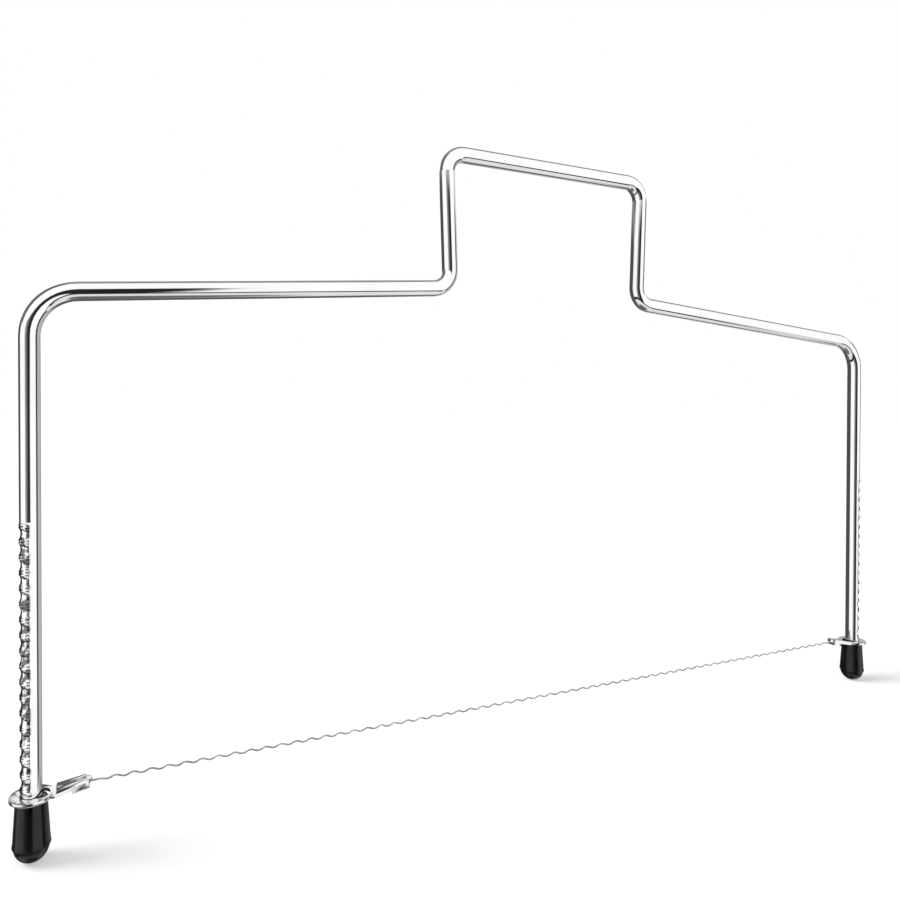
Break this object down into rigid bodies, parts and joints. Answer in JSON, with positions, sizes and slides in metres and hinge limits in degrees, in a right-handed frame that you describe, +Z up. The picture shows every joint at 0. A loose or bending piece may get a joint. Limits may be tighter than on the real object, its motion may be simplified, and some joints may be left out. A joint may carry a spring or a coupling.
{
  "type": "cake leveler",
  "caption": "Bent steel rod frame with a raised handle, notched legs on rubber foot caps, and a crimped cutting wire between two sliding plates.",
  "frame": {"origin": "on the table, midway between the two feet, under the middle of the wire", "axes": "+X along the wire from the left leg to the right leg, +Y through the frame away from the viewer, +Z up"},
  "size_m": [0.3222, 0.0102, 0.1975],
  "materials": {
    "frame_steel": "mirror-bright plated rod",
    "slider_steel": "bright stamped sheet",
    "wire_steel": "bright drawn wire",
    "cap_rubber": "smooth, slightly glossy"
  },
  "bodies": {
    "frame": {"frame_rod": "frame_steel", "left_foot_cap": "cap_rubber", "right_foot_cap": "cap_rubber"},
    "cutter": {"left_slider": "slider_steel", "right_slider": "slider_steel", "cutting_wire": "wire_steel"}
  },
  "joints": [
    {"name": "cutting_height", "type": "slide", "parent": "frame", "child": "cutter", "axis": [0, 0, 1], "range_m": [0, 0.0663]}
  ]
}
